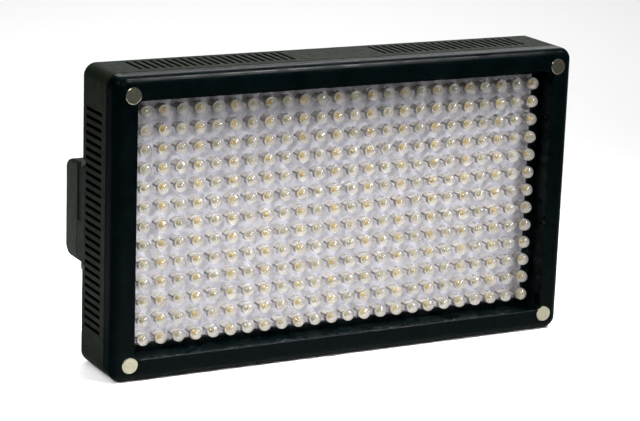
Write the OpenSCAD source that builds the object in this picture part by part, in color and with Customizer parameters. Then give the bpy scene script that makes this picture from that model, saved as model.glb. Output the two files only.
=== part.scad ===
// LED panel light: a wide, shallow camera light with a field of 5 mm lamps behind
// an open window, a slide-on battery pack and a control panel on its back.
// X runs to the right as seen from the front, Y to the back, Z up. The origin is
// the mouth of the tripod socket. Depths count back from the front plane.

/* [Housing] */
// Width of the housing
body_w = 203; // [202:0.5:206]
// Height of the housing
body_h = 120; // [119.5:0.5:122]
// Depth of the housing, without the battery
body_d = 32.5; // [32.5:0.5:36]
// Radius of the housing's corners
corner_r = 5; // [4:0.5:5]
// Radius of the front frame's outer edge
front_edge_r = 4; // [3:0.1:4]
// Radius of the rear shell's back edge
rear_edge_r = 1.5; // [1:0.25:2]
// Wall of the rear shell
wall = 2; // [1.8:0.1:2.2]
// Depth of the front frame's side
frame_depth = 8.2; // [8:0.1:8.6]

/* [Window and lamps] */
// Width of the window
window_w = 184.6; // [183:0.2:185]
// Height of the window
window_h = 102.4; // [101:0.2:103]
// Columns of lamps
columns = 24; // [20:2:24]
// Rows of lamps
rows = 13; // [9:2:13]
// Distance from lamp to lamp
pitch = 7.5; // [7:0.1:7.5]
// Diameter of one lamp
lamp_d = 5; // [4.8:0.1:5.2]

/* [Vents] */
// Slots on each side wall
side_slots = 28; // [16:1:28]
// Slots in each of the two groups on top
top_slots = 21; // [12:1:21]
// Width of a slot
slot_w = 1.5; // [1.2:0.1:1.8]

/* [Battery] */
// Length of the pack
pack_l = 70.8; // [69:0.2:72]
// Width of the pack
pack_w = 40; // [39:0.5:40]
// How far the pack stands out behind the housing
pack_proud = 17; // [16:0.1:18]

/* [Controls] */
// Diameter of the two rotary knobs
knob_d = 22; // [18:1:26]
// Height of the knobs
knob_h = 13; // [11:1:15]

/* [Hidden] */
$fn = 64;

socket_depth = 21.5;       // depth of the tripod socket's axis, where Y is 0
mid_z = body_h / 2;
fit = 0.15;                // gap between mouldings that plug together
eps = 0.01;

// Front frame
frame_wall = 2.2;
front_wall = 2.4;
recess_wall = 1.6;
tongue_t = 1.4;
tongue_start = 6;
tongue_end = 11.4;
seam_gap = 0.8;            // width and depth of the shadow line behind the frame
seam_depth = 1;
board_face = 12.2;
board_t = 1.6;
board_back = board_face + board_t;
flange_t = 2;
flange_x = (columns - 1) / 2 * pitch + 3.2;
flange_z = (rows - 1) / 2 * pitch + 3.2;
post_r = 4;
magnet_x = body_w / 2 - 7.3;
magnet_z = body_h / 2 - 7.2;
magnet_r = 3.5;
magnet_t = 3;
magnet_proud = 0.25;

// Screws
case_screw_r = 1.5;
case_head_r = 2.8;
case_head_depth = 29;      // where the countersunk heads seat
case_screw_tip = 5.5;
small_r = 1.1;
small_head_r = 2;
small_head_h = 1.5;
board_post_x = (body_w / 2 - frame_wall + window_w / 2 + recess_wall) / 2;
board_post_z = (body_h / 2 - frame_wall + window_h / 2 + recess_wall) / 2;
board_screw_at = concat(
    [for (s = [-1, 1], z = [-24, 24]) [s * board_post_x, z]],
    [for (s = [-1, 1], x = [-48, 48]) [x, s * board_post_z]]);

// Rear shell
inner_back = body_d - wall;
slot_from = 13;
slot_to = 28.4;
side_pitch = 3.2;
top_pitch = 3.25;
top_mid = 53;              // middle of each group of top slots
shell_post_r = 5.4;
socket_r = 2.55;
socket_l = 9;
insert_r = 4.75;
insert_l = 10;
boss_r = 6.5;

// Battery bay
bay_half = 22.2;           // half height of the bay
bay_floor = 28.2;
bay_skin = 1.8;
bay_end = -24.5;           // inner end of the bay
sill = 29.3;               // the bay's outer end stands this deep
plate_t = sill - bay_floor;
rail_in = pack_w / 2 + 0.25;
rail_out = bay_half - fit;
lip_in = rail_in - 1.35;
lip_from = 31.3;
plate_screw_at = [for (x = [-90, -54], s = [-1, 1]) [x, mid_z + 15 * s]];
plate_boss_r = 2.6;
plate_boss_end = 22;

// Battery pack
pack_from = 29.5;
pack_to = body_d + pack_proud;
pack_seam = 36.8;
pack_x0 = -body_w / 2;
pack_x1 = pack_x0 + pack_l;
pack_wall = 1.2;
pack_edge_r = 8;
pack_end_r = 1.5;
groove_d = 1.65;
groove_from = lip_from - 0.2;
groove_to = body_d + 0.2;
cell_r = 8.2;
cell_l = 60;
cell_depth = (pack_from + pack_to) / 2;
cell_gap = 0.4;
blade_at = [-8, 0, 8];     // heights of the contact blades about the pack's middle
blade_from = 31.6;
blade_to = 35.4;
blade_t = 0.8;
blade_tip = pack_x1 - 4.6;
block_to = 37.4;

// Latch
latch_x = -15;
latch_r = 4.5;
latch_travel = 2.4;
arm_from = 22.5;
arm_to = 25;
tongue_x0 = -44;
tongue_x1 = -40;
tongue_tip = 30.4;
bracket_floor = 15.8;
bracket_t = 1.4;
coil_r = 2.9;
coil_wire = 0.35;
coil_turns = 4;

// Control panel
panel_from = 20.2;         // depth of the control board's front face
panel_to = panel_from + board_t;
panel_x0 = -5;
panel_x1 = 97;
panel_z0 = 52;
panel_z1 = 104;
panel_posts = [for (x = [0, 92], z = [57, 100]) [x, z]];
panel_post_r = 3;
bright_at = [80, 84];
colour_at = [48, 84];
pot_r = 8.25;
pot_h = 8;
bushing_r = 3.5;
bushing_to = 36;
shaft_r = 3;
shaft_from = 25;
shaft_to = 43.5;
washer_t = 0.5;
nut_t = 2;
knob_gap = 0.8;            // between the panel and the knob's skirt
grips = 24;
switch_at = [80, 38];
switch_w = 19;
switch_h = 12.8;
bezel_w = 21;
bezel_h = 15;
bezel_t = 1.7;
rocker_tilt = 9;
rocker_half = 8;
rocker_w = 10;
rocker_pivot = 32.6;       // depth of the rocker's axis
dc_at = [46, 34];
dc_bore_r = 3;
dc_pin_r = 1.05;
dc_barrel_r = 5.4;
dc_flange_r = 6.5;
test_at = [14, 84];
test_r = 3.3;
test_travel = 0.8;
level_at = [14, 64];
level_w = 24;
level_h = 5;

// 2D shapes
module rounded(w, h, r) {
    square([w - 2 * r, h], center = true);
    square([w, h - 2 * r], center = true);
    for (x = [-1, 1], y = [-1, 1])
        translate([x * (w / 2 - r), y * (h / 2 - r)]) circle(r);
}
module quarter(r) {
    intersection() { circle(r); square(r); }
}
module ring(w, h, r, t) {
    difference() { rounded(w, h, r); rounded(w - 2 * t, h - 2 * t, max(r - t, 0.6)); }
}

// Places a 2D shape drawn in X and Z between two depths
module slab(from, to) {
    translate([0, to - socket_depth, 0]) rotate([90, 0, 0]) linear_extrude(to - from) children();
}
// The same, about the middle of the housing
module mid_slab(from, to) {
    translate([0, 0, mid_z]) slab(from, to) children();
}
// A cylinder along Y between two depths
module rod(at, from, to, r) {
    translate([at[0], from - socket_depth, at[1]]) rotate([-90, 0, 0]) cylinder(h = to - from, r = r);
}
// A box between two depths, given by its X and Z limits
module block(x0, x1, from, to, z0, z1) {
    translate([x0, from - socket_depth, z0]) cube([x1 - x0, to - from, z1 - z0]);
}
// A slab of thickness re whose upper edge is rounded, with corners of radius rc
module soft_slab(w, h, rc, re) {
    linear_extrude(re) square([w - 2 * rc, h - 2 * re], center = true);
    linear_extrude(re) square([w - 2 * re, h - 2 * rc], center = true);
    for (s = [0, 180]) {
        rotate(s) translate([-(w / 2 - rc), h / 2 - re, 0])
            rotate([90, 0, 90]) linear_extrude(w - 2 * rc) quarter(re);
        rotate(s) translate([w / 2 - re, h / 2 - rc, 0])
            rotate([90, 0, 0]) linear_extrude(h - 2 * rc) quarter(re);
    }
    for (x = [-1, 1], y = [-1, 1])
        translate([x * (w / 2 - rc), y * (h / 2 - rc), 0])
            rotate(x > 0 ? (y > 0 ? 0 : -90) : (y > 0 ? 90 : 180))
                rotate_extrude(angle = 90) {
                    square([rc - re + eps, re]);
                    translate([rc - re, 0]) quarter(re);
                }
}
// A pan-head or countersunk screw: head at one depth, tip nearer the front
module screw(at, head, tip, r, head_r, head_h) {
    rod(at, tip, head, r);
    difference() {
        rod(at, head, head + head_h, head_r);
        for (a = [0, 90])
            translate([at[0], head + head_h - socket_depth, at[1]]) rotate([0, a, 0])
                cube([head_r * 1.2, head_h, head_r * 0.3], center = true);
    }
}
// A wire of round section through points that differ in one coordinate at a time
module wire(points, r) {
    union() {
        for (i = [0 : len(points) - 2]) {
            a = points[i];
            b = points[i + 1];
            d = b - a;
            turn = d[0] != 0 ? [0, 90 * sign(d[0]), 0]
                : d[1] != 0 ? [-90 * sign(d[1]), 0, 0] : [d[2] < 0 ? 180 : 0, 0, 0];
            translate(a) rotate(turn) cylinder(h = norm(d), r = r, $fn = 24);
        }
        for (i = [1 : len(points) - 2]) translate(points[i]) sphere(r, $fn = 24);
    }
}

// Front frame
module case_posts(from, to, r) {
    for (x = [-1, 1], z = [-1, 1])
        rod([x * magnet_x, mid_z + z * magnet_z], from, to, r);
}
module front_frame() {
    color([0.03, 0.035, 0.035]) difference() {
        union() {
            difference() {
                union() {
                    translate([0, front_edge_r - socket_depth, mid_z]) rotate([90, 0, 0])
                        soft_slab(body_w, body_h, corner_r, front_edge_r);
                    mid_slab(front_edge_r, frame_depth) rounded(body_w, body_h, corner_r);
                }
                mid_slab(front_wall, frame_depth + eps)
                    rounded(body_w - 2 * frame_wall, body_h - 2 * frame_wall, 3);
            }
            mid_slab(tongue_start, tongue_end)
                ring(body_w - 2 * (wall + fit), body_h - 2 * (wall + fit), 3, tongue_t);
            mid_slab(front_wall - 1, board_face)
                square([window_w + 2 * recess_wall, window_h + 2 * recess_wall], center = true);
            case_posts(1, board_face, post_r);
            for (p = board_screw_at) rod([p[0], mid_z + p[1]], 2, board_face, 2.4);
        }
        difference() {
            mid_slab(-eps, board_face - flange_t) rounded(window_w, window_h, 1);
            case_posts(-1, board_face, post_r);
        }
        mid_slab(-eps, board_face + eps) square([2 * flange_x, 2 * flange_z], center = true);
        case_posts(-1, magnet_t - magnet_proud, magnet_r);
        case_posts(case_screw_tip - 0.5, board_face + eps, case_screw_r);
        for (p = board_screw_at) rod([p[0], mid_z + p[1]], 5, board_face + eps, small_r);
    }
}
module corner_magnets() {
    color([0.62, 0.6, 0.54]) case_posts(-magnet_proud, magnet_t - magnet_proud, magnet_r);
}

// Lamps
module led_board() {
    edge = frame_wall + 0.7;
    color([0.9, 0.9, 0.92]) difference() {
        mid_slab(board_face, board_back) square([body_w - 2 * edge, body_h - 2 * edge], center = true);
        for (x = [-1, 1], z = [-1, 1])
            mid_slab(board_face - 1, board_back + 1)
                translate([x * body_w / 2, z * body_h / 2]) square(2 * (7.3 + post_r + 0.4), center = true);
        for (p = board_screw_at) rod([p[0], mid_z + p[1]], board_face - 1, board_back + 1, small_r + 0.1);
    }
}
module lamp() {
    r = lamp_d / 2;
    cylinder(h = 1, r = r + 0.4);
    cylinder(h = 8.7 - r, r = r);
    translate([0, 0, 8.7 - r]) sphere(r);
}
module lamps(first) {
    for (i = [first : 2 : columns - 1], j = [0 : rows - 1])
        translate([(i - (columns - 1) / 2) * pitch, board_face - socket_depth,
            mid_z + (j - (rows - 1) / 2) * pitch]) rotate([90, 0, 0]) lamp();
}
module cool_leds() {
    color([0.86, 0.88, 0.9, 0.6]) lamps(0);
}
module warm_leds() {
    color([0.95, 0.85, 0.6, 0.6]) lamps(1);
}
module board_screws() {
    color([0.7, 0.7, 0.72]) for (p = board_screw_at)
        screw([p[0], mid_z + p[1]], board_back, 5.5, small_r, small_head_r, small_head_h);
}

// Rear shell
module vents() {
    for (s = [-1, 1], i = [0 : side_slots - 1])
        translate([s * (body_w - wall) / 2, (slot_from + slot_to) / 2 - socket_depth,
            mid_z + (i - (side_slots - 1) / 2) * side_pitch])
            cube([wall + 1, slot_to - slot_from, slot_w], center = true);
    for (s = [-1, 1], i = [0 : top_slots - 1])
        translate([s * top_mid + (i - (top_slots - 1) / 2) * top_pitch,
            (slot_from + slot_to) / 2 - socket_depth, body_h - wall / 2])
            cube([slot_w, slot_to - slot_from, wall + 1], center = true);
}
module shell_box() {
    difference() {
        union() {
            translate([0, body_d - rear_edge_r - socket_depth, mid_z]) rotate([-90, 0, 0])
                soft_slab(body_w, body_h, corner_r, rear_edge_r);
            mid_slab(frame_depth + seam_gap, body_d - rear_edge_r) rounded(body_w, body_h, corner_r);
            mid_slab(frame_depth, frame_depth + seam_gap)
                rounded(body_w - 2 * seam_depth, body_h - 2 * seam_depth, corner_r - seam_depth);
        }
        mid_slab(frame_depth - 1, inner_back)
            rounded(body_w - 2 * wall, body_h - 2 * wall, corner_r - wall);
        vents();
    }
}
module shell_bosses() {
    intersection() {
        union() {
            case_posts(board_face + 0.2, board_back + 1, post_r);
            case_posts(board_back + 0.3, inner_back + 0.5, shell_post_r);
        }
        mid_slab(0, body_d) rounded(body_w - wall, body_h - wall, corner_r - wall / 2);
    }
    for (p = panel_posts) rod(p, panel_to, inner_back + 0.5, panel_post_r);
    for (p = plate_screw_at) rod(p, plate_boss_end, bay_floor - 0.5, plate_boss_r);
    block(-body_w / 2 + wall - 0.5, bay_end + wall, bay_floor - bay_skin, inner_back + 0.5,
        mid_z - bay_half - wall, mid_z + bay_half + wall);
    translate([0, 0, wall - 0.5]) cylinder(h = insert_l + 1.5 - wall + 0.5, r = boss_r);
}
module shell_openings() {
    block(-body_w / 2 - 1, bay_end, sill, body_d + 1, mid_z - bay_half, mid_z + bay_half);
    block(-body_w / 2 + wall, bay_end, bay_floor, sill + 1, mid_z - bay_half, mid_z + bay_half);
    for (p = plate_screw_at) rod(p, plate_boss_end + 1, bay_floor + 1, small_r);
    block(tongue_x0 - 1, tongue_x1 + 1, 20, bay_floor + 1, mid_z - 2.2, mid_z + 2.2);
    for (s = [-1, 1]) rod([-27.5, mid_z + 8 * s], 20, bay_floor + 1, 1.3);
    rod([latch_x, mid_z], 28, body_d + 1, latch_r + fit);
    for (p = [bright_at, colour_at]) rod(p, 28, body_d + 1, bushing_r + 0.1);
    slab(28, body_d + 1) translate(switch_at) square([switch_w + 0.2, switch_h + 0.2], center = true);
    rod(dc_at, 28, body_d + 1, dc_barrel_r + 0.1);
    rod(test_at, 28, body_d + 1, test_r + fit);
    slab(28, body_d + 1) translate(level_at) square([level_w + 0.2, level_h + 0.2], center = true);
    for (p = panel_posts) rod(p, panel_to - 1, 27.5, small_r);
    translate([0, 0, -1]) cylinder(h = insert_l + 1, r = insert_r);
    case_posts(board_face, case_head_depth, case_screw_r + 0.2);
    case_posts(case_head_depth, body_d + 1, case_head_r + 0.3);
}
module rear_shell() {
    color([0.1, 0.11, 0.1]) difference() {
        union() { shell_box(); shell_bosses(); }
        shell_openings();
    }
}
module case_screws() {
    color([0.15, 0.15, 0.16]) for (x = [-1, 1], z = [-1, 1])
        screw([x * magnet_x, mid_z + z * magnet_z], case_head_depth, case_screw_tip,
            case_screw_r, case_head_r, 2.2);
}
module tripod_insert() {
    color([0.8, 0.65, 0.35]) difference() {
        cylinder(h = insert_l, r = insert_r);
        translate([0, 0, -eps]) cylinder(h = socket_l + eps, r = socket_r);
    }
}

// Control board
module control_board() {
    color([0.05, 0.25, 0.12]) difference() {
        block(panel_x0, panel_x1, panel_from, panel_to, panel_z0, panel_z1);
        for (p = panel_posts) rod(p, panel_from - 1, panel_to + 1, small_r + 0.1);
    }
}
module control_screws() {
    color([0.7, 0.7, 0.72]) for (p = panel_posts) {
        rod(p, panel_from, 27, small_r);
        rod(p, panel_from - small_head_h, panel_from, small_head_r);
    }
}
module driver_parts() {
    color([0.2, 0.2, 0.24]) {
        for (x = [60, 69]) rod([x, 62], panel_to, panel_to + 8, 4);
        for (x = [34, 46]) rod([x, 63], panel_to, panel_to + 4.5, 5);
        for (x = [16, 26, 60, 74]) block(x, x + 6.5, panel_to, panel_to + 2.3, 96, 102);
        block(28, 38, panel_from - 1.6, panel_from, 70, 80);
        block(52, 58, panel_from - 1.6, panel_from, 88, 92);
    }
}
module board_link() {
    color([0.1, 0.1, 0.1]) block(8, 30, board_back, panel_from, 88, 94);
}
module wiring() {
    y = function (depth) depth - socket_depth;
    r = 0.7;
    color([0.6, 0.1, 0.08]) {
        wire([[-27.5, y(25.3), 68], [-27.5, y(23.4), 68], [-27.5, y(23.4), 75], [6, y(23.4), 75],
            [6, y(panel_to), 75]], r);
        wire([[-27.5, y(25.3), 52], [-27.5, y(23.4), 52], [-27.5, y(23.4), 45], [10, y(23.4), 45],
            [10, y(23.4), 54], [10, y(panel_to), 54]], r);
        for (x = [76, 84])
            wire([[x, y(19), 38], [x, y(17.6), 38], [x, y(17.6), 55], [x, y(panel_from), 55]], r);
        for (x = [44, 48])
            wire([[x, y(20.5), 34], [x, y(18), 34], [x, y(18), 56], [x, y(panel_from), 56]], r);
    }
}

// Rotary controls
module pot(at) {
    color([0.55, 0.57, 0.6]) difference() {
        union() {
            rod(at, panel_to, panel_to + pot_h, pot_r);
            rod(at, panel_to + pot_h - eps, bushing_to, bushing_r);
        }
        rod(at, shaft_from - 0.4, bushing_to + 1, shaft_r + 0.05);
    }
}
module shaft(at) {
    color([0.75, 0.76, 0.78]) rod(at, shaft_from, shaft_to, shaft_r);
}
module knob(at) {
    from = body_d + knob_gap;
    to = from + knob_h;
    r = knob_d / 2;
    color([0.06, 0.06, 0.065]) difference() {
        union() {
            rod(at, from, to - 1, r);
            rod(at, to - 1 - eps, to, r - 1);
        }
        rod(at, from - 1, bushing_to + 0.4, 7.5);
        rod(at, from, shaft_to, shaft_r);
        for (i = [0 : grips - 1])
            rod(at + (r + 0.35) * [cos(i * 360 / grips), sin(i * 360 / grips)], from + 2.5, to + 1, 0.95);
        block(at[0] - 0.6, at[0] + 0.6, to - 0.5, to + 1, at[1] + r * 0.35, at[1] + r);
    }
}
module brightness_pot() { pot(bright_at); }
module colour_pot() { pot(colour_at); }
module brightness_shaft() { shaft(bright_at); }
module colour_shaft() { shaft(colour_at); }
module brightness_knob() { knob(bright_at); }
module colour_knob() { knob(colour_at); }
module pot_washers() {
    color([0.7, 0.7, 0.72]) for (p = [bright_at, colour_at]) difference() {
        rod(p, body_d, body_d + washer_t, 6);
        rod(p, body_d - 1, body_d + 1, bushing_r + 0.1);
    }
}
module pot_nuts() {
    from = body_d + washer_t;
    color([0.72, 0.72, 0.74]) for (p = [bright_at, colour_at]) difference() {
        slab(from, from + nut_t) translate(p) circle(r = 5.77, $fn = 6);
        rod(p, from - 1, from + nut_t + 1, bushing_r);
    }
}

// Power switch
module switch_body() {
    color([0.05, 0.05, 0.055]) difference() {
        union() {
            slab(19, body_d) translate(switch_at) square([switch_w, switch_h], center = true);
            slab(body_d, body_d + bezel_t) translate(switch_at) rounded(bezel_w, bezel_h, 1.5);
        }
        slab(27.2, body_d + bezel_t + 1) translate(switch_at)
            square([2 * rocker_half + 1.6, rocker_w + 0.6], center = true);
        translate([switch_at[0], rocker_pivot - socket_depth, switch_at[1] - rocker_w / 2 - 1.1])
            cylinder(h = rocker_w + 2.2, r = 1.05);
    }
}
module power_rocker() {
    color([0.08, 0.08, 0.085])
        translate([switch_at[0], rocker_pivot - socket_depth, switch_at[1]]) rotate(-rocker_tilt) {
            translate([0, 0, -rocker_w / 2]) linear_extrude(rocker_w)
                polygon([[-rocker_half, -3], [rocker_half, -3], [rocker_half, 2.4], [0, 1.3],
                    [-rocker_half, 2.4]]);
            translate([0, 0, -rocker_w / 2 - 1]) cylinder(h = rocker_w + 2, r = 1);
        }
}

// Power inlet
module dc_socket() {
    color([0.05, 0.05, 0.05]) difference() {
        union() {
            rod(dc_at, 20.5, body_d, dc_barrel_r);
            rod(dc_at, body_d, body_d + 1.5, dc_flange_r);
        }
        rod(dc_at, 24.5, body_d + 2, dc_bore_r);
        rod(dc_at, 23, 25, dc_pin_r);
    }
}
module dc_pin() {
    color([0.8, 0.8, 0.8]) rod(dc_at, 23, body_d + 0.6, dc_pin_r);
}
module dc_nut() {
    color([0.72, 0.72, 0.74]) difference() {
        slab(inner_back - 2, inner_back) translate(dc_at) circle(r = 8, $fn = 6);
        rod(dc_at, inner_back - 3, inner_back + 1, dc_barrel_r);
    }
}

// Battery test
module test_switch() {
    top = panel_to + 3.5;
    color([0.1, 0.1, 0.1]) difference() {
        block(test_at[0] - 3, test_at[0] + 3, panel_to, top, test_at[1] - 3, test_at[1] + 3);
        rod(test_at, panel_to + 1.2, top + 1, 1.8);
    }
}
module test_plunger() {
    color([0.85, 0.85, 0.82]) rod(test_at, panel_to + 2.4, 26.5, 1.72);
}
module test_button() {
    color([0.5, 0.08, 0.06]) {
        rod(test_at, 26.5, body_d + 1.2, test_r);
        rod(test_at, 29.2, inner_back - 0.1, test_r + 1.3);
    }
}
module level_leds() {
    color([0.7, 0.85, 0.7]) for (i = [-1.5 : 1.5]) {
        rod([level_at[0] + 6 * i, level_at[1]], panel_to, panel_to + 4, 1.5);
        translate([level_at[0] + 6 * i, panel_to + 4 - socket_depth, level_at[1]]) sphere(1.5);
    }
}
module level_window() {
    color([0.3, 0.3, 0.32, 0.7]) {
        slab(inner_back, body_d + 0.2) translate(level_at) square([level_w, level_h], center = true);
        slab(inner_back - 1, inner_back) translate(level_at)
            square([level_w + 3, level_h + 3], center = true);
    }
}

// Battery bay
module battery_plate() {
    x0 = -body_w / 2;
    color([0.07, 0.075, 0.07]) difference() {
        union() {
            block(x0 + wall + fit, bay_end - fit, bay_floor, sill, mid_z - rail_out, mid_z + rail_out);
            for (s = [-1, 1]) translate([0, 0, mid_z]) mirror([0, 0, s > 0 ? 0 : 1]) {
                block(x0, bay_end - fit, sill, body_d, rail_in, rail_out);
                block(x0, bay_end - fit, lip_from, body_d, lip_in, rail_in + 0.5);
            }
        }
        for (p = plate_screw_at) {
            rod(p, bay_floor - 1, sill + 1, small_r + 0.1);
            rod(p, bay_floor + 0.3, sill + 1, small_head_r + 0.1);
        }
        block(tongue_x0 - 1, tongue_x1 + 1, 20, sill + 1, mid_z - 2.2, mid_z + 2.2);
        for (s = [-1, 1]) rod([-27.5, mid_z + 8 * s], 20, sill + 1, 1.3);
    }
}
module plate_screws() {
    color([0.7, 0.7, 0.72]) for (p = plate_screw_at)
        screw(p, bay_floor + 0.3, plate_boss_end + 1.5, small_r, small_head_r, 0.7);
}
module terminal_block() {
    color([0.08, 0.08, 0.08]) difference() {
        union() {
            block(pack_x1 + 0.3, bay_end - fit, sill, block_to, mid_z - 14, mid_z + 14);
            for (s = [-1, 1]) rod([-27.5, mid_z + 8 * s], 25.3, sill + 1, 1.2);
        }
        for (b = blade_at)
            block(pack_x1, -27.5, blade_from, blade_to, mid_z + b - blade_t / 2, mid_z + b + blade_t / 2);
    }
}
module terminal_blades() {
    color([0.8, 0.66, 0.3]) for (b = blade_at)
        block(blade_tip, -27.5, blade_from, blade_to, mid_z + b - blade_t / 2, mid_z + b + blade_t / 2);
}
module latch() {
    color([0.4, 0.06, 0.05]) {
        rod([latch_x, mid_z], arm_to - eps, body_d + 2, latch_r);
        block(tongue_x0, latch_x + latch_r, arm_from, arm_to, mid_z - 3, mid_z + 3);
        block(tongue_x0, tongue_x1, arm_to - eps, tongue_tip, mid_z - 1.5, mid_z + 1.5);
        rod([latch_x, mid_z], arm_from - 1.6, arm_from + eps, 2);
    }
}
module latch_bracket() {
    floor_to = bracket_floor + bracket_t;
    color([0.1, 0.1, 0.1]) {
        block(latch_x - 7, latch_x + 7, bracket_floor, floor_to, mid_z - 9.6, mid_z + 9.6);
        for (s = [-1, 1]) translate([0, 0, mid_z]) mirror([0, 0, s > 0 ? 0 : 1])
            block(latch_x - 7, latch_x + 7, floor_to - eps, inner_back, 8, 9.6);
    }
}
// Round section swept along a helix, closed at both ends
function helix_points(r, wire_r, turns, height, steps, sides) = [
    for (i = [0 : steps]) let (a = 360 * turns * i / steps, z = height * i / steps)
        for (k = [0 : sides - 1]) let (b = 360 * k / sides)
            [(r + wire_r * cos(b)) * cos(a), (r + wire_r * cos(b)) * sin(a), z + wire_r * sin(b)]];
function helix_faces(steps, sides) = concat(
    [[for (k = [0 : sides - 1]) k]],
    [for (i = [0 : steps - 1], k = [0 : sides - 1]) let (a = i * sides, n = (k + 1) % sides)
        [a + k, a + sides + k, a + sides + n, a + n]],
    [[for (k = [sides - 1 : -1 : 0]) steps * sides + k]]);
module latch_spring() {
    from = bracket_floor + bracket_t + coil_wire + 0.05;
    to = arm_from - coil_wire - 0.05;
    steps = 18 * coil_turns;
    color([0.8, 0.8, 0.82]) translate([latch_x, from - socket_depth, mid_z]) rotate([-90, 0, 0])
        polyhedron(helix_points(coil_r, coil_wire, coil_turns, to - from, steps, 8),
            helix_faces(steps, 8));
}

// Battery pack: an outline rounded along its long edges and, less, at its ends
module pack_body(from, to, inset) {
    h = to - from;
    half = pack_w / 2 - inset;
    length = pack_l - 2 * inset;
    edge = pack_edge_r - inset;
    end = max(pack_end_r - inset, 0.3);
    mid_x = (pack_x0 + pack_x1) / 2;
    translate([mid_x, from - socket_depth, mid_z]) intersection() {
        translate([-length / 2, 0, 0]) rotate([90, 0, 90]) linear_extrude(length) {
            translate([0, -half]) square([h - edge, 2 * half]);
            translate([0, edge - half]) square([h, 2 * (half - edge)]);
            for (s = [-1, 1]) translate([h - edge, s * (half - edge)]) circle(edge);
        }
        translate([0, 0, -half]) linear_extrude(2 * half) {
            translate([-length / 2, 0]) square([length, h - end]);
            translate([end - length / 2, 0]) square([length - 2 * end, h]);
            for (s = [-1, 1]) translate([s * (length / 2 - end), h - end]) circle(end);
        }
        rotate([-90, 0, 0]) linear_extrude(h) rounded(length, 2 * half, end);
    }
}
module battery_base() {
    color([0.12, 0.13, 0.12]) difference() {
        union() {
            difference() {
                translate([(pack_x0 + pack_x1) / 2, pack_seam - socket_depth, mid_z]) rotate([90, 0, 0])
                    linear_extrude(pack_seam - pack_from) rounded(pack_l, pack_w, pack_end_r);
                block(pack_x0 + pack_wall, pack_x1 - pack_wall, pack_from + pack_wall, pack_seam + 1,
                    mid_z - 17.4, mid_z + 17.4);
            }
            block(tongue_x0 - 3, pack_x1 - 0.5, pack_from + 1, pack_from + 2, mid_z - 3.3, mid_z + 3.3);
        }
        for (s = [-1, 1]) translate([0, 0, mid_z]) mirror([0, 0, s > 0 ? 0 : 1])
            block(pack_x0 - 1, pack_x1 + 1, groove_from, groove_to, pack_w / 2 - groove_d, pack_w);
        block(tongue_x0 - 0.6, pack_x1 + 1, pack_from - 1, tongue_tip + 0.4, mid_z - 2.1, mid_z + 2.1);
        for (b = blade_at)
            block(pack_x1 - 2, pack_x1 + 1, blade_from - 0.4, blade_to + 0.4,
                mid_z + b - 0.7, mid_z + b + 0.7);
        block(pack_x0 - 1, pack_x0 + 0.8, body_d + 0.4, pack_seam + 1, mid_z - 3, mid_z + pack_w);
    }
}
module battery_cover() {
    color([0.16, 0.17, 0.155]) difference() {
        pack_body(pack_seam, pack_to, 0);
        pack_body(pack_seam - 1, pack_to - pack_wall, pack_wall);
        difference() {
            slab(pack_seam - eps, pack_seam + 0.4) translate([(pack_x0 + pack_x1) / 2, mid_z])
                square([pack_l + 2, pack_w + 2], center = true);
            slab(pack_seam - 1, pack_seam + 1) translate([(pack_x0 + pack_x1) / 2, mid_z])
                rounded(pack_l - 0.8, pack_w - 0.8, pack_end_r);
        }
    }
}
module battery_cells() {
    color([0.35, 0.45, 0.6]) for (s = [-1, 1])
        translate([pack_x0 + 2, cell_depth - socket_depth, mid_z + s * (cell_r + cell_gap / 2)])
            rotate([0, 90, 0]) cylinder(h = cell_l, r = cell_r);
}
module battery_board() {
    color([0.05, 0.3, 0.15])
        block(pack_x0 + cell_l + 3, pack_x0 + cell_l + 4, pack_from + 3, pack_to - 4, mid_z - 15, mid_z + 15);
}
module battery_contacts() {
    x0 = pack_x0 + cell_l + 4;
    color([0.8, 0.66, 0.3]) for (b = blade_at) {
        block(x0, x0 + 0.5, blade_from, blade_to, mid_z + b - 1.2, mid_z + b + 1.2);
        for (s = [-1, 1]) translate([0, 0, mid_z + b]) mirror([0, 0, s > 0 ? 0 : 1])
            block(x0, pack_x1 - pack_wall - 0.2, blade_from, blade_to, 0.6, 1.2);
    }
}

front_frame();
corner_magnets();
led_board();
cool_leds();
warm_leds();
board_screws();
rear_shell();
case_screws();
tripod_insert();
control_board();
control_screws();
driver_parts();
board_link();
wiring();
brightness_pot();
brightness_shaft();
brightness_knob();
colour_pot();
colour_shaft();
colour_knob();
pot_washers();
pot_nuts();
switch_body();
power_rocker();
dc_socket();
dc_pin();
dc_nut();
test_switch();
test_plunger();
test_button();
level_leds();
level_window();
battery_plate();
plate_screws();
terminal_block();
terminal_blades();
latch();
latch_bracket();
latch_spring();
battery_base();
battery_cover();
battery_cells();
battery_board();
battery_contacts();
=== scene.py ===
"""Looks for the LED panel light: lamps with their lead frames and phosphor, moulded housings, magnets,
printed scales, a studio floor, soft lights and the camera. Lengths are in metres, in the part's own frame:
X to the right as seen from in front, Y to the back, Z up from the underside."""
import math

import bpy
from mathutils import Matrix, Vector


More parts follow.
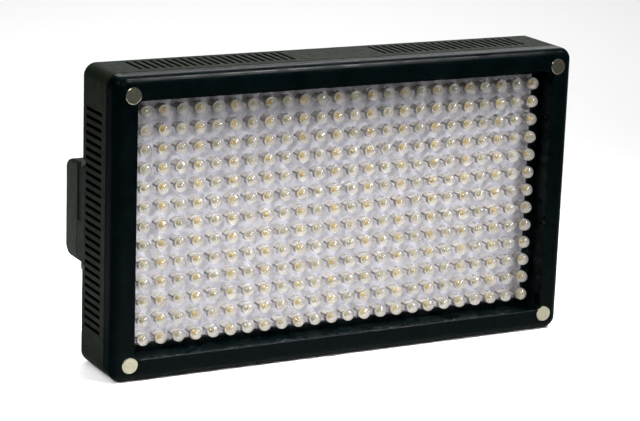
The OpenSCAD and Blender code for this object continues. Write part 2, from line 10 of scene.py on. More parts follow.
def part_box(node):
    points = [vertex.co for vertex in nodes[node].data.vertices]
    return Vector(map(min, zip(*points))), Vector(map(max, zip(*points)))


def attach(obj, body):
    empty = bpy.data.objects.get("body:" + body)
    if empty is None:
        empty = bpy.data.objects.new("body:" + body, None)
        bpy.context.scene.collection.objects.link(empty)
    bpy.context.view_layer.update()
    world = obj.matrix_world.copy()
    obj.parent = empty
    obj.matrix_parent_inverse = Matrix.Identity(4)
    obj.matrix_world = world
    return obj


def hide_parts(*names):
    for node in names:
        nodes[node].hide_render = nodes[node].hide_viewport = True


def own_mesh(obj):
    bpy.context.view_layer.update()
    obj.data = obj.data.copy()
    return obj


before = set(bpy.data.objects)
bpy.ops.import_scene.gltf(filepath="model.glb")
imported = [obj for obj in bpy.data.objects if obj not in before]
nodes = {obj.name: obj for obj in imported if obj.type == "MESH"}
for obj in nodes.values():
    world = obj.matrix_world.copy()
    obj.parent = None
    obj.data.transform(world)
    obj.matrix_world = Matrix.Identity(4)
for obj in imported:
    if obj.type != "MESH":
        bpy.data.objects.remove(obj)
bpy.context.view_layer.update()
MM = 0.001
WHITE = (1, 1, 1, 1)

# ---------------------------------------------------------------- the housing
front_low, front_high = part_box("front_frame")
side_x, front_y, top_z = front_high.x, front_low.y, front_high.z
back_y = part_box("rear_shell")[1].y
BORDER_SIDE, BORDER = 11.5 * MM, 9.1 * MM       # width of the frame beside, and above and below, its window
window_x = side_x - BORDER_SIDE
window_low, window_high = BORDER, top_z - BORDER


# ---------------------------------------------------------------- materials
def shader_input(m, name):
    return m.node_tree.nodes["Principled BSDF"].inputs[name]


def link(m, source, target):
    m.node_tree.links.new(source, target)


def material(name, color, rough, metal=0.0, specular=0.5, **sockets):
    """A Principled material. Other sockets are set by name, with _ for a space."""
    m = bpy.data.materials.new(name)
    m.use_nodes = True
    sockets.update(Base_Color=(*color, 1), Roughness=rough, Metallic=metal, Specular_IOR_Level=specular)
    for key, value in sockets.items():
        shader_input(m, key.replace("_", " ")).default_value = value
    return m


def node(m, kind, **settings):
    """A new node. Each setting is an input of the node, or else a property."""
    n = m.node_tree.nodes.new(kind)
    for key, value in settings.items():
        if key in n.inputs:
            n.inputs[key].default_value = value
        else:
            setattr(n, key, value)
    return n


def noise(m, size, detail=3.0):
    """Noise whose blobs measure about size, in the part's frame."""
    n = node(m, "ShaderNodeTexNoise", Scale=1 / size, Detail=detail)
    link(m, node(m, "ShaderNodeTexCoord").outputs["Object"], n.inputs["Vector"])
    return n.outputs["Fac"]


def remap(m, value, low, high, start=0.3, end=0.7):
    """As value goes from start to end, the result goes from low to high."""
    n = node(m, "ShaderNodeMapRange")
    link(m, value, n.inputs["Value"])
    for key, number in (("From Min", start), ("From Max", end), ("To Min", low), ("To Max", high)):
        n.inputs[key].default_value = number
    return n.outputs["Result"]


def combine(m, operation, first, second):
    """One value from two."""
    n = node(m, "ShaderNodeMath", operation=operation)
    link(m, first, n.inputs[0])
    link(m, second, n.inputs[1])
    return n.outputs["Value"]


def mottle(m, color, other, size, start=0.35, end=0.65):
    """The base colour drifts between two colours in blobs of about size."""
    mix = node(m, "ShaderNodeMix", data_type="RGBA", A=(*color, 1), B=(*other, 1))
    link(m, remap(m, noise(m, size), 0, 1, start, end), mix.inputs["Factor"])
    link(m, mix.outputs["Result"], shader_input(m, "Base Color"))


def lay_over(m, color, share):
    """Lays color over the pattern that the base colour has, as far as share says."""
    base = shader_input(m, "Base Color")
    over = node(m, "ShaderNodeMix", data_type="RGBA", B=(*color, 1))
    link(m, share, over.inputs["Factor"])
    link(m, base.links[0].from_socket, over.inputs["A"])
    link(m, over.outputs["Result"], base)


def scuffs(m, color, size, share):
    """Rare specks of about size, as on a moulding that has been handled."""
    lay_over(m, color, remap(m, noise(m, size, detail=6), 0, share, 0.66, 0.76))


def uneven(m, low, high, size):
    """The roughness drifts between two values in blobs of about size."""
    link(m, remap(m, noise(m, size), low, high), shader_input(m, "Roughness"))


def grain(m, *layers):
    """Bump from layers of (size of the blobs, height, strength)."""
    below = None
    for size, height, strength in layers:
        bump = node(m, "ShaderNodeBump", Strength=strength, Distance=height)
        link(m, noise(m, size), bump.inputs["Height"])
        if below:
            link(m, below, bump.inputs["Normal"])
        below = bump.outputs["Normal"]
    link(m, below, shader_input(m, "Normal"))
    return m


def position(m):
    """Sockets that give |X|, Y and Z in the part's frame."""
    axes = node(m, "ShaderNodeSeparateXYZ")
    link(m, node(m, "ShaderNodeTexCoord").outputs["Object"], axes.inputs["Vector"])
    size = node(m, "ShaderNodeMath", operation="ABSOLUTE")
    link(m, axes.outputs["X"], size.inputs[0])
    return {"|X|": size.outputs["Value"], "Y": axes.outputs["Y"], "Z": axes.outputs["Z"]}


def inside_blocks(m, blocks):
    """1 inside any of the blocks, each bounded by ramps: (axis, outside, inside)."""
    here = position(m)
    share = None
    for ramps in blocks:
        inside = None
        for axis, outer, inner in ramps:
            ramp = remap(m, here[axis], 0, 1, outer, inner)
            inside = combine(m, "MULTIPLY", inside, ramp) if inside else ramp
        share = combine(m, "MAXIMUM", share, inside) if share else inside
    return share


def paint_highlight_in_blocks(m, color, *blocks):
    """The base colour turns to color inside blocks: a painted highlight."""
    lay_over(m, color, inside_blocks(m, blocks))


def paint_slot_shade(m, color, specular, *blocks):
    """Painted shade: the finish takes a dark colour and a low specular inside blocks."""
    share = inside_blocks(m, blocks)
    lay_over(m, color, share)
    shine = shader_input(m, "Specular IOR Level")
    link(m, remap(m, share, shine.default_value, specular, 0, 1), shine)


def duller_sides(m, start, end, specular, side_specular):
    """The finish loses its shine towards the two ends of the part, where |X| goes from start to end."""
    shine = remap(m, position(m)["|X|"], specular, side_specular, start, end)
    link(m, shine, shader_input(m, "Specular IOR Level"))


def shinier_blocks(m, specular, *blocks):
    """Inside blocks the finish is at least this specular. It follows duller_sides."""
    shine = shader_input(m, "Specular IOR Level")
    least = remap(m, inside_blocks(m, blocks), 0, specular, 0, 1)
    link(m, combine(m, "MAXIMUM", shine.links[0].from_socket, least), shine)


def shade(color, factor, more=0):
    """A paler or darker kind of color."""
    return [c * factor + more for c in color]


def gloss_moulding(name, color, rough, specular):
    m = material(name, color, rough, specular=specular)
    mottle(m, color, shade(color, 1.6), 6 * MM)
    uneven(m, rough * 0.7, rough * 1.8, 9 * MM)
    return grain(m, (5 * MM, 0.02 * MM, 0.25), (0.6 * MM, 0.003 * MM, 0.2))


def matte_moulding(name, color, rough=0.5, texture=0.35, specular=0.04):
    m = material(name, color, rough, specular=specular)
    mottle(m, color, shade(color, 1.35), 4 * MM)
    scuffs(m, shade(color, 2, 0.01), 1.1 * MM, 0.5)
    uneven(m, rough * 0.85, rough * 1.2, 3 * MM)
    return grain(m, (0.45 * MM, 0.03 * MM, texture), (0.16 * MM, 0.012 * MM, texture))


def plated(name, color, rough):
    m = material(name, color, rough, metal=1.0)
    mottle(m, color, shade(color, 0.8), 1.2 * MM)
    uneven(m, rough * 0.7, rough * 1.5, 0.5 * MM)
    return grain(m, (0.25 * MM, 0.006 * MM, 0.3))


def circuit(name, color):
    m = material(name, color, 0.35)
    mottle(m, color, shade(color, 0.75), 3 * MM, start=0.48, end=0.52)
    return grain(m, (0.8 * MM, 0.02 * MM, 0.3))


def epoxy(name, color):
    """Clear lamp body, with the faint ripple of a cast surface. Light falls through it onto the board."""
    m = material(name, color, 0.06, IOR=1.5, Transmission_Weight=0.95)
    grain(m, (1.6 * MM, 0.01 * MM, 0.15))
    path = node(m, "ShaderNodeLightPath")
    clear = node(m, "ShaderNodeBsdfTransparent", Color=WHITE)
    mix = node(m, "ShaderNodeMixShader")
    link(m, path.outputs["Is Shadow Ray"], mix.inputs["Fac"])
    link(m, m.node_tree.nodes["Principled BSDF"].outputs["BSDF"], mix.inputs[1])
    link(m, clear.outputs["BSDF"], mix.inputs[2])
    link(m, mix.outputs["Shader"], m.node_tree.nodes["Material Output"].inputs["Surface"])
    return m


def phosphor(name, color, other):
    m = material(name, color, 0.5, specular=0.4)
    mottle(m, color, other, 0.5 * MM)
    return grain(m, (0.2 * MM, 0.02 * MM, 0.4))


# Blocks of the housing: a painted highlight along the window's sill, a recess with a shinier finish, and
# painted shade in the vent slots. Each bound is a ramp: axis, where it starts, where it is full.
SILL_HIGHLIGHT = (("Z", window_low - 0.35 * MM, window_low - 0.25 * MM),
        ("Z", window_low + 0.4 * MM, window_low + 0.3 * MM),
        ("Y", front_y + 0.8 * MM, front_y + 0.6 * MM), ("|X|", window_x + 0.5 * MM, window_x))
RECESS = (("|X|", window_x + 3 * MM, window_x + 2.5 * MM),
          ("Z", window_low - 0.6 * MM, window_low - 0.3 * MM),
          ("Z", window_high + 0.6 * MM, window_high + 0.3 * MM),
          ("Y", front_y + 0.4 * MM, front_y + 0.6 * MM))
SLOTS_BACK = ("Y", back_y - 3.2 * MM, back_y - 3.7 * MM)
TOP_SLOT_SHADE = (("Z", top_z - 0.2 * MM, top_z - 0.4 * MM),
             ("|X|", side_x - 5 * MM, side_x - 6 * MM), SLOTS_BACK)
SIDE_SLOT_SHADE = (("|X|", side_x - 0.2 * MM, side_x - 0.4 * MM), ("Z", 12 * MM, 12.5 * MM),
              ("Z", top_z - 12 * MM, top_z - 12.5 * MM), SLOTS_BACK)

frame_gloss = gloss_moulding("frame_gloss", (0.0003, 0.0011, 0.0013), 0.22, 0.014)
duller_sides(frame_gloss, side_x - 3 * MM, side_x - 0.5 * MM, 0.016, 0.0015)
# A painted highlight: a paler band along the lip of the window's bottom edge, standing in for the light
# that a small rounded edge would catch.
paint_highlight_in_blocks(frame_gloss, (0.03, 0.034, 0.036), SILL_HIGHLIGHT)
shinier_blocks(frame_gloss, 0.09, RECESS)
shell_matte = matte_moulding("shell_matte", (0.0042, 0.0058, 0.0038), specular=0.008)
# Painted shade: the walls of the vent slots are made near black and less shiny, standing in for the shade
# inside them.
paint_slot_shade(shell_matte, (0.0002, 0.0003, 0.0003), 0.001, TOP_SLOT_SHADE, SIDE_SLOT_SHADE)
pack_matte = matte_moulding("pack_matte", (0.007, 0.0095, 0.007), 0.48, specular=0.016)
pack_dark = matte_moulding("pack_dark", (0.006, 0.009, 0.0075), 0.52, specular=0.01)
strip_black = matte_moulding("strip_black", (0.0042, 0.0058, 0.005), 0.5, specular=0.01)
knob_satin = matte_moulding("knob_satin", (0.014, 0.014, 0.015), 0.38, 0.15)
rail_matte = matte_moulding("rail_matte", (0.02, 0.022, 0.02), 0.45, 0.2)
switch_satin = matte_moulding("switch_satin", (0.012, 0.012, 0.013), 0.35, 0.12)
rocker_gloss = gloss_moulding("rocker_gloss", (0.012, 0.012, 0.013), 0.2, 0.5)
button_red = gloss_moulding("button_red", (0.42, 0.02, 0.015), 0.22, 0.5)
nylon_black = matte_moulding("nylon_black", (0.02, 0.02, 0.021), 0.4, 0.1)
nylon_natural = matte_moulding("nylon_natural", (0.75, 0.74, 0.7), 0.4, 0.1)
part_dark = matte_moulding("part_dark", (0.03, 0.03, 0.04), 0.35, 0.1)
wire_red = gloss_moulding("wire_red", (0.45, 0.03, 0.02), 0.3, 0.5)
cell_wrap = gloss_moulding("cell_wrap", (0.05, 0.14, 0.4), 0.25, 0.5)
board_green = circuit("board_green", (0.01, 0.11, 0.045))
board_white = circuit("board_white", (0.5, 0.495, 0.555))
zinc = plated("zinc", (0.62, 0.62, 0.65), 0.3)
black_oxide = plated("black_oxide", (0.05, 0.05, 0.055), 0.35)
nickel = plated("nickel", (0.21, 0.204, 0.15), 0.17)
brass = plated("brass", (0.72, 0.5, 0.2), 0.28)
gold_flash = plated("gold_flash", (0.85, 0.62, 0.25), 0.2)
machined = plated("machined", (0.62, 0.63, 0.65), 0.3)
can_metal = plated("can_metal", (0.4, 0.41, 0.43), 0.35)
lead_frame = matte_moulding("lead_frame", (0.17, 0.16, 0.15), 0.3, 0.1, 0.4)
white_print = matte_moulding("white_print", (0.72, 0.72, 0.7), 0.5, 0.1)
amber_print = matte_moulding("amber_print", (0.7, 0.32, 0.05), 0.5, 0.1, 0.2)
blue_print = matte_moulding("blue_print", (0.3, 0.5, 0.72), 0.5, 0.1, 0.2)
cool_epoxy = epoxy("cool_epoxy", (0.95, 0.94, 0.91))
warm_epoxy = epoxy("warm_epoxy", (0.97, 0.94, 0.88))
cool_phosphor = phosphor("cool_phosphor", (0.13, 0.11, 0.05), (0.17, 0.15, 0.08))
warm_phosphor = phosphor("warm_phosphor", (0.17, 0.12, 0.028), (0.23, 0.175, 0.05))
cup_cool = phosphor("cup_cool", (0.095, 0.09, 0.06), (0.135, 0.125, 0.09))
cup_warm = phosphor("cup_warm", (0.16, 0.13, 0.065), (0.22, 0.185, 0.1))
green_epoxy = gloss_moulding("green_epoxy", (0.1, 0.42, 0.08), 0.15, 0.5)
smoke = material("smoke", (0.02, 0.02, 0.022), 0.08, Alpha=0.75)
grain(smoke, (4 * MM, 0.02 * MM, 0.2))

FINISHES = {
    "front_frame": frame_gloss, "led_board": board_white, "board_screws": zinc, "rear_shell": shell_matte,
    "case_screws": black_oxide, "tripod_insert": brass, "control_board": board_green,
    "control_screws": zinc, "driver_parts": part_dark, "board_link": nylon_black, "wiring": wire_red,
    "brightness_pot": can_metal, "brightness_shaft": machined, "brightness_knob": knob_satin,
    "colour_pot": can_metal, "colour_shaft": machined, "colour_knob": knob_satin, "pot_washers": zinc,
    "pot_nuts": zinc, "switch_body": switch_satin, "power_rocker": rocker_gloss, "dc_socket": switch_satin,
    "dc_pin": nickel, "dc_nut": zinc, "test_switch": nylon_black, "test_plunger": nylon_natural,
    "test_button": button_red, "level_leds": green_epoxy, "level_window": smoke,
    "battery_plate": rail_matte, "plate_screws": zinc, "terminal_block": nylon_black,
    "terminal_blades": gold_flash, "latch": button_red, "latch_bracket": nylon_black,
    "latch_spring": machined, "battery_base": pack_dark, "battery_cover": pack_matte,
    "battery_cells": cell_wrap, "battery_board": board_green, "battery_contacts": gold_flash,
    "corner_magnets": nickel, "cool_leds": cool_epoxy, "warm_leds": warm_epoxy,
}
for name, finish in FINISHES.items():
    cad = nodes[name]
    if not cad.material_slots:
        cad.data.materials.append(finish)
    for s in cad.material_slots:
        s.material = finish


# ---------------------------------------------------------------- mesh code
def add_object(name, data):
    """A new object in the scene."""
    obj = bpy.data.objects.new(name, data)
    bpy.context.scene.collection.objects.link(obj)
    return obj


class Shape:
    """Vertices and faces, gathered from several pieces."""

    def __init__(self, verts=(), faces=()):
        self.verts = list(verts)
        self.faces = list(faces)

    def join(self, other, place=Matrix()):
        """Takes in a copy of another shape, moved to place."""
        start = len(self.verts)
        self.verts += [tuple(place @ Vector(v)) for v in other.verts]
        self.faces += [[i + start for i in f] for f in other.faces]

    def copies(self, places):
        out = Shape()
        for place in places:
            out.join(self, place)
        return out

    def piece(self, name, finish, body, slot, replaced=(), angle=35):
        """The shape as an object. Edges sharper than angle, in degrees, stay sharp."""
        mesh = bpy.data.meshes.new(name)
        mesh.from_pydata(self.verts, [], self.faces)
        mesh.materials.append(finish)
        mesh.shade_smooth()
        mesh.set_sharp_from_angle(angle=math.radians(angle))
        obj = add_object(name, mesh)
        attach(obj, body)
        if replaced:
            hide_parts(*replaced)
        return obj


def place_at(x, y, z, degrees, axis):
    """A place at x, y, z, turned about one axis."""
    return Matrix.Translation((x, y, z)) @ Matrix.Rotation(math.radians(degrees), 4, axis)


def turned(outline, sides):
    """A closed solid of revolution about Z. The outline runs from the axis to the axis, bottom to top."""
    rings = outline[1:-1]
    turns = [2 * math.pi * k / sides for k in range(sides)]
    verts = [(0, 0, outline[0][1])]
    for r, z in rings:
        verts += [(r * math.cos(turn), r * math.sin(turn), z) for turn in turns]
    verts.append((0, 0, outline[-1][1]))
    top = len(verts) - 1
    last = top - sides
    faces = []
    for k in range(sides):
        n = (k + 1) % sides
        faces.append([0, 1 + n, 1 + k])
        for a in range(1, last, sides):
            faces.append([a + k, a + n, a + sides + n, a + sides + k])
        faces.append([last + k, last + n, top])
    return Shape(verts, faces)


def arc(cx, cz, r, start, end, steps):
    """Points on an arc in an outline, angles in degrees from +r towards +z."""
    turns = [math.radians(start + (end - start) * i / steps) for i in range(steps + 1)]
    return [(cx + r * math.cos(turn), cz + r * math.sin(turn)) for turn in turns]


def slab(x0, x1, y0, y1, z0, z1, bevel=0.0):
    """A box with its edges cut by bevel."""
    ring = [(x0 + bevel, y0), (x1 - bevel, y0), (x1, y0 + bevel), (x1, y1 - bevel),
            (x1 - bevel, y1), (x0 + bevel, y1), (x0, y1 - bevel), (x0, y0 + bevel)]
    n = len(ring)
    cx, cy = (x0 + x1) / 2, (y0 + y1) / 2
    verts = []
    for z, inset in ((z0, bevel), (z0 + bevel, 0), (z1 - bevel, 0), (z1, bevel)):
        kx, ky = 1 - 2 * inset / (x1 - x0), 1 - 2 * inset / (y1 - y0)
        verts += [(cx + (x - cx) * kx, cy + (y - cy) * ky, z) for x, y in ring]
    faces = [list(range(n - 1, -1, -1)), list(range(3 * n, 4 * n))]
    for a in (0, n, 2 * n):
        faces += [[a + k, a + (k + 1) % n, a + n + (k + 1) % n, a + n + k] for k in range(n)]
    return Shape(verts, faces)


# ---------------------------------------------------------------- lamps
field_low, field_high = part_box("cool_leds")
warm_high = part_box("warm_leds")[1]
board_face = field_high.y                       # the lamps stand on this plane and point to -Y
lamp_len = field_high.y - field_low.y
COLUMNS, ROWS = 24, 13
FLANGE_R, LAMP_R = 2.9 * MM, 2.5 * MM
FLANGE_TALL = 1.0 * MM
left_x = field_low.x + FLANGE_R
right_x = warm_high.x - FLANGE_R
low_z = field_low.z + FLANGE_R
pitch_x = (right_x - left_x) / (COLUMNS - 1)
pitch_z = (field_high.z - field_low.z - 2 * FLANGE_R) / (ROWS - 1)
TWIST = 5.6                                     # degrees that a lamp is turned about its axis, at most
CUP_Z = 5.6 * MM                                # height of the cup's rim above the board
CUP_R, CORE_R = 1.45 * MM, 0.8 * MM             # radius of the cup, at its rim and at its floor
CUP_DEPTH = 0.45 * MM
cup_floor = CUP_Z - CUP_DEPTH
SKIN = 0.03 * MM                                # thickness of the cup's lining
LEAD_HALF = 0.25 * MM                           # half the thickness of a lead
LAMP_SIDES, CUP_SIDES = 32, 20
SUNK = 0.08 * MM                                # the flange reaches this far into the board, past its face


def lamp_body():
    """Flange with its flat, a slightly tapered barrel and a dome."""
    dome_z = lamp_len - LAMP_R
    taper = 0.03 * MM
    outline = [(0, -SUNK), (FLANGE_R, -SUNK), (FLANGE_R, 0.06 * MM), (FLANGE_R, 0.9 * MM),
               (FLANGE_R - 0.08 * MM, FLANGE_TALL), (LAMP_R + 0.02 * MM, FLANGE_TALL), (LAMP_R, 1.06 * MM)]
    outline += arc(0, dome_z, LAMP_R - taper, 0, 90, 10)[:-1]
    outline.append((0, lamp_len - taper))
    shape = turned(outline, LAMP_SIDES)
    flat = -(LAMP_R + 0.03 * MM)
    shape.verts = [(max(x, flat), y, z) for x, y, z in shape.verts]
    return shape


def lamp_lead(x0, x1, top):
    bevel = 0.05 * MM
    return slab(x0, x1, -LEAD_HALF, LEAD_HALF, bevel, top, bevel)


def lamp_leads():
    """The anvil, with the cup on top, and the second post."""
    rim = CUP_R + 0.12 * MM
    foot, lip = CUP_Z - 1.3 * MM, CUP_Z - 0.02 * MM
    shape = turned([(0, foot), (rim * 0.7, foot), (rim, CUP_Z - 0.5 * MM), (rim, lip), (CUP_R, lip),
                    (0, cup_floor - 0.05 * MM)], CUP_SIDES)
    shape.join(lamp_lead(-0.95 * MM, 0.75 * MM, CUP_Z - 1.2 * MM))
    shape.join(lamp_lead(1.35 * MM, 1.85 * MM, CUP_Z - 0.5 * MM))
    return shape


def lamp_cup():
    """The cup's pale lining, down to the chip."""
    return turned([(0, cup_floor - SKIN), (CORE_R, cup_floor - SKIN), (CUP_R, CUP_Z - SKIN), (CUP_R, CUP_Z),
                   (CORE_R, cup_floor), (0, cup_floor)], CUP_SIDES)


def lamp_phosphor():
    """A drop of phosphor at the bottom of the cup."""
    base = cup_floor + 0.01 * MM
    rim = base + 0.02 * MM
    bulge = 0.3 * MM
    turns = [math.pi / 12 * i for i in range(6)]
    dome = [(CORE_R * math.cos(turn), rim + bulge * math.sin(turn)) for turn in turns]
    return turned([(0, base), (CORE_R * 0.99, base), *dome, (0, rim + bulge)], CUP_SIDES)


def stands(first):
    """Where each lamp of every other column stands. It points to -Y, twisted by up to TWIST."""
    out = []
    for i in range(first, COLUMNS, 2):
        for j in range(ROWS):
            twist = TWIST * math.sin(12.9 * i + 7.3 * j)
            foot = place_at(left_x + i * pitch_x, board_face, low_z + j * pitch_z, 90, "X")
            out.append(foot @ Matrix.Rotation(math.radians(twist), 4, "Z"))
    return out


LAMPS = (("cool", 0, cool_epoxy, cup_cool, cool_phosphor), ("warm", 1, warm_epoxy, cup_warm, warm_phosphor))
for kind, first, clear, lining, glow in LAMPS:
    spots = stands(first)
    bodies = lamp_body().copies(spots)
    bodies.piece(f"{kind}_lamp_bodies", clear, "housing", f"led_{kind}", (f"{kind}_leds",))
    lamp_leads().copies(spots).piece(f"{kind}_lamp_leads", lead_frame, "housing", "zinc_screw")
    lamp_cup().copies(spots).piece(f"{kind}_lamp_cups", lining, "housing", f"led_{kind}")
    lamp_phosphor().copies(spots).piece(f"{kind}_lamp_phosphor", glow, "housing", f"led_{kind}")

# ---------------------------------------------------------------- magnets
MAGNET_R, CHAMFER = 3.5 * MM, 0.35 * MM
MAGNET_GAP = 0.15 * MM                          # the dark ring round each disc
MAGNET_SIDES = 64
magnet_low, magnet_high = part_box("corner_magnets")


def magnet():
    """A disc that stands up on Z, with a cut edge and a face that is dished by a few hundredths."""
    tall = magnet_high.y - magnet_low.y
    r = MAGNET_R - MAGNET_GAP
    return turned([(0, 0), (r, 0), (r, tall - CHAMFER), (r - 0.12 * MM, tall - 0.1 * MM),
                   (r - CHAMFER, tall), (r * 0.5, tall - 0.03 * MM), (0, tall - 0.04 * MM)], MAGNET_SIDES)


corners = [place_at(x, magnet_high.y, z, 90, "X")
           for x in (magnet_low.x + MAGNET_R, magnet_high.x - MAGNET_R)
           for z in (magnet_low.z + MAGNET_R, magnet_high.z - MAGNET_R)]
magnet().copies(corners).piece("magnet_discs", nickel, "housing", "magnet", ("corner_magnets",), 20)

# ---------------------------------------------------------------- printed marks on the back
PRINT = 0.04 * MM                               # thickness of the print
SWEEP = 140                                     # degrees that a knob turns each way
TICKS, TICK_HALF, TICK_GAP = 11, 0.17 * MM, 1.4 * MM
LONG_TICK, SHORT_TICK = 2.2 * MM, 1.3 * MM      # lengths
END_DOT_TURN, END_DOT_GAP = 12, 2.6 * MM        # where the dots lie, past the first and the last tick
LOW_DOT, HIGH_DOT = 0.55 * MM, 1.0 * MM         # radii
POINTER_HALF, POINTER_LOW, POINTER_HIGH = 0.42 * MM, -0.42 * MM, -0.06 * MM    # from the knob's face
LEVELS, LEVEL_PITCH, LEVEL_DROP = 4, 6 * MM, 4.6 * MM           # dots below the level window
LEVEL_DOT, LEVEL_GROWTH = 0.35 * MM, 0.12 * MM
KEY_DOT, KEY_DROP = 0.5 * MM, 6 * MM                            # the dot below the key


def middle(name):
    low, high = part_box(name)
    return (low + high) / 2


def print_dot(shape, r, x, z):
    """A printed dot that lies on the back."""
    shape.join(turned([(0, 0), (r, 0), (r, PRINT), (0, PRINT)], 24), place_at(x, back_y, z, -90, "X"))


def print_scale(shape, hub, knob_r):
    """Ticks round a knob, longer at the ends and in the middle."""
    inner = knob_r + TICK_GAP
    for step in range(TICKS):
        tick_len = SHORT_TICK if step % (TICKS // 2) else LONG_TICK
        tick = slab(-TICK_HALF, TICK_HALF, 0, PRINT, inner, inner + tick_len)
        turn = -SWEEP + step * 2 * SWEEP / (TICKS - 1)
        shape.join(tick, place_at(hub.x, back_y, hub.z, turn, "Y"))


def print_ends(low_shape, high_shape, hub, knob_r):
    """A small and a large dot, past the two ends of a scale."""
    far = knob_r + END_DOT_GAP
    for side, shape, r in ((-1, low_shape, LOW_DOT), (1, high_shape, HIGH_DOT)):
        turn = math.radians(side * (SWEEP + END_DOT_TURN))
        print_dot(shape, r, hub.x + far * math.sin(turn), hub.z + far * math.cos(turn))


def pointer(knob_r):
    """The line on a knob, let into its face."""
    start, end = knob_r * 0.35 + 0.2 * MM, knob_r - 1.3 * MM
    return slab(-POINTER_HALF, POINTER_HALF, POINTER_LOW, POINTER_HIGH, start, end)


white_marks, amber_marks, blue_marks = Shape(), Shape(), Shape()
END_MARKS = {"brightness": (white_marks, white_marks), "colour": (amber_marks, blue_marks)}
for dial, (low_shape, high_shape) in END_MARKS.items():
    hub = middle(f"{dial}_knob")
    low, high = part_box(f"{dial}_knob")
    knob_r = (high.x - low.x) / 2
    print_scale(white_marks, hub, knob_r)
    print_ends(low_shape, high_shape, hub, knob_r)
    seat = Matrix.Translation((hub.x, high.y, hub.z))
    pointer(knob_r).copies([seat]).piece(f"{dial}_pointer", white_print, f"{dial}_dial", "board_white")

level = middle("level_window")
for step in range(LEVELS):
    x = level.x + (step - (LEVELS - 1) / 2) * LEVEL_PITCH
    print_dot(white_marks, LEVEL_DOT + step * LEVEL_GROWTH, x, level.z - LEVEL_DROP)
key = middle("test_button")
print_dot(white_marks, KEY_DOT, key.x, key.z - KEY_DROP)
white_marks.piece("white_marks", white_print, "housing", "board_white")
amber_marks.piece("amber_mark", amber_print, "housing", "led_warm")
blue_marks.piece("blue_mark", blue_print, "housing", "led_cool")

# ---------------------------------------------------------------- latch spring
COIL_WIRE, COIL_TURNS = 0.35 * MM, 4            # radius of the wire, number of turns


def coil(radius, wire_r, turns, tall):
    """A wire wound about Z, with closed ends."""
    steps, sides = 24 * turns, 10
    verts = []
    for i in range(steps + 1):
        a = 2 * math.pi * turns * i / steps
        for k in range(sides):
            b = 2 * math.pi * k / sides
            r = radius + wire_r * math.cos(b)
            verts.append((r * math.cos(a), r * math.sin(a), tall * i / steps + wire_r * math.sin(b)))
    faces = [list(range(sides)), [steps * sides + k for k in reversed(range(sides))]]
    for a in range(0, steps * sides, sides):
        for k in range(sides):
            n = (k + 1) % sides
            faces.append([a + k, a + sides + k, a + sides + n, a + n])
    return Shape(verts, faces)


coil_low, coil_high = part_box("latch_spring")
coil_len = coil_high.y - coil_low.y
coil_mid = middle("latch_spring")
wound = coil((coil_high.x - coil_low.x) / 2 - COIL_WIRE, COIL_WIRE, COIL_TURNS, coil_len - 2 * COIL_WIRE)
wound = wound.copies([place_at(coil_mid.x, coil_low.y + COIL_WIRE, coil_mid.z, -90, "X")])
latch_coil = wound.piece("latch_coil", machined, "housing", "spring_steel", ("latch_spring",))
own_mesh(latch_coil)

# ---------------------------------------------------------------- strip in the pack's end
pack_low, pack_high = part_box("battery_base")
pack_x, pack_mid = pack_low.x, (pack_low.z + pack_high.z) / 2
strip_x = (pack_x + 0.6 * MM, pack_x + 0.84 * MM)
strip_y = (back_y + 0.45 * MM, pack_high.y - 0.05 * MM)
strip_z = (pack_mid - 2.9 * MM, pack_high.z - 0.9 * MM)
strip = slab(*strip_x, *strip_y, *strip_z, bevel=0.05 * MM)
strip.piece("pack_end_strip", strip_black, "battery", "connector")

# ---------------------------------------------------------------- floor, lights, camera
ROOM_LIGHT, WALL_BRIGHTNESS = 0.08, 0.95
FLOOR_HALF = 4
# name: place, what it points at, width and height, watts, spread in degrees
LIGHTS = {
    "key": ((0.48, -0.60, 0.962), (0, -0.02, 0.11), (0.3, 0.2), 0.64, 34),
    "edge": ((0.463, -0.25, 1.06), (-0.04, -0.02, 0.117), (0.24, 0.12), 1.0, 30),
    "over_floor": ((-0.05, 0.35, 1.2), (-0.05, 0.35, 0), (0.9, 0.7), 1.4, 70),
    "back": ((0.62, 1.2, 1.05), (0, 0.05, 0.12), (1.2, 1.1), 11.5, 130),
    "left": ((-0.78, -0.1, 0.72), (-0.17, -0.03, 0), (0.25, 0.16), 0.5, 42),
    "front": ((-0.15, -1.1, 0.75), (0, 0, 0.08), (0.4, 0.3), 0.18, 26),
}
CAMERA_PLACE = (-0.43434, -0.80680, 0.29188)
CAMERA_TURN, CAMERA_DIP, CAMERA_ROLL = 28.165, 14.498, 2.041    # degrees
CAMERA_LENS = 131.53                                            # focal length in mm, on 36 mm film


def floor():
    h = FLOOR_HALF
    mesh = bpy.data.meshes.new("floor")
    mesh.from_pydata([(-h, -h, 0), (h, -h, 0), (h, h, 0), (-h, h, 0)], [], [[0, 1, 2, 3]])
    mesh.materials.append(material("floor_paint", (0.88, 0.88, 0.88), 0.7))
    obj = add_object("floor", mesh)


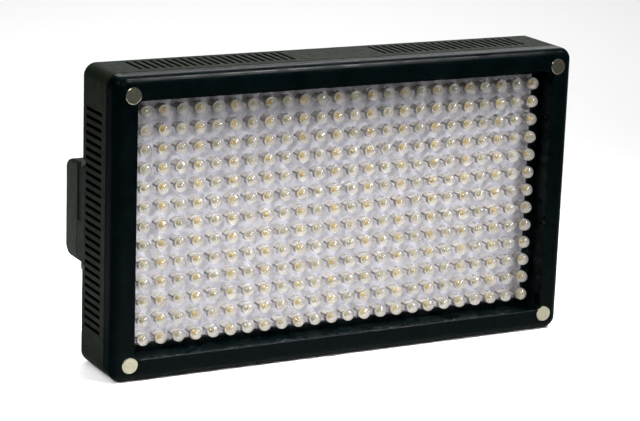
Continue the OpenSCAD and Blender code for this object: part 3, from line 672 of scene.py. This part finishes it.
def softbox(name, place, aim, size, power, spread):
    """A rectangular soft light. Its spread, in degrees, is that of the grid in front of it."""
    light = bpy.data.lights.new(name, "AREA")
    light.spread = math.radians(spread)
    light.shape = "RECTANGLE"
    light.size, light.size_y = size
    light.energy = power
    obj = add_object(name, light)
    obj.location = place
    back = (Vector(place) - Vector(aim)).normalized()
    side = (Vector((1, 0, 0)) - back * back.x).normalized()
    obj.rotation_euler = Matrix((side, back.cross(side), back)).transposed().to_euler()


def studio():
    """A dim room whose walls look pale in the picture."""
    world = bpy.data.worlds.new("studio")
    world.use_nodes = True
    room = world.node_tree.nodes["Background"]
    wall = node(world, "ShaderNodeBackground")
    for n, strength in ((room, ROOM_LIGHT), (wall, WALL_BRIGHTNESS)):
        n.inputs["Strength"].default_value = strength
        n.inputs["Color"].default_value = WHITE
    path = node(world, "ShaderNodeLightPath")
    mix = node(world, "ShaderNodeMixShader")
    link(world, path.outputs["Is Camera Ray"], mix.inputs["Fac"])
    link(world, room.outputs["Background"], mix.inputs[1])
    link(world, wall.outputs["Background"], mix.inputs[2])
    link(world, mix.outputs["Shader"], world.node_tree.nodes["World Output"].inputs["Surface"])
    bpy.context.scene.world = world


def camera(place, turn, dip, roll, lens):
    """The picture's view. It turns to the right of +Y, dips below the horizon and rolls, in degrees."""
    az, el, ro = (math.radians(a) for a in (turn, dip, roll))
    forward = Vector((math.sin(az) * math.cos(el), math.cos(az) * math.cos(el), -math.sin(el)))
    level = forward.cross(Vector((0, 0, 1))).normalized()
    above = level.cross(forward)
    right = level * math.cos(ro) + above * math.sin(ro)
    up = above * math.cos(ro) - level * math.sin(ro)
    data = bpy.data.cameras.new("camera")
    data.lens = lens
    data.clip_start = 0.01
    obj = add_object("camera", data)
    axes = Matrix((right, up, -forward)).transposed().to_4x4()
    obj.matrix_world = Matrix.Translation(place) @ axes
    bpy.context.scene.camera = obj


floor()
for name, (place, aim, size, power, spread) in LIGHTS.items():
    softbox(name, place, aim, size, power, spread)
studio()
bpy.context.scene.view_settings.view_transform = "Standard"
camera(CAMERA_PLACE, CAMERA_TURN, CAMERA_DIP, CAMERA_ROLL, CAMERA_LENS)
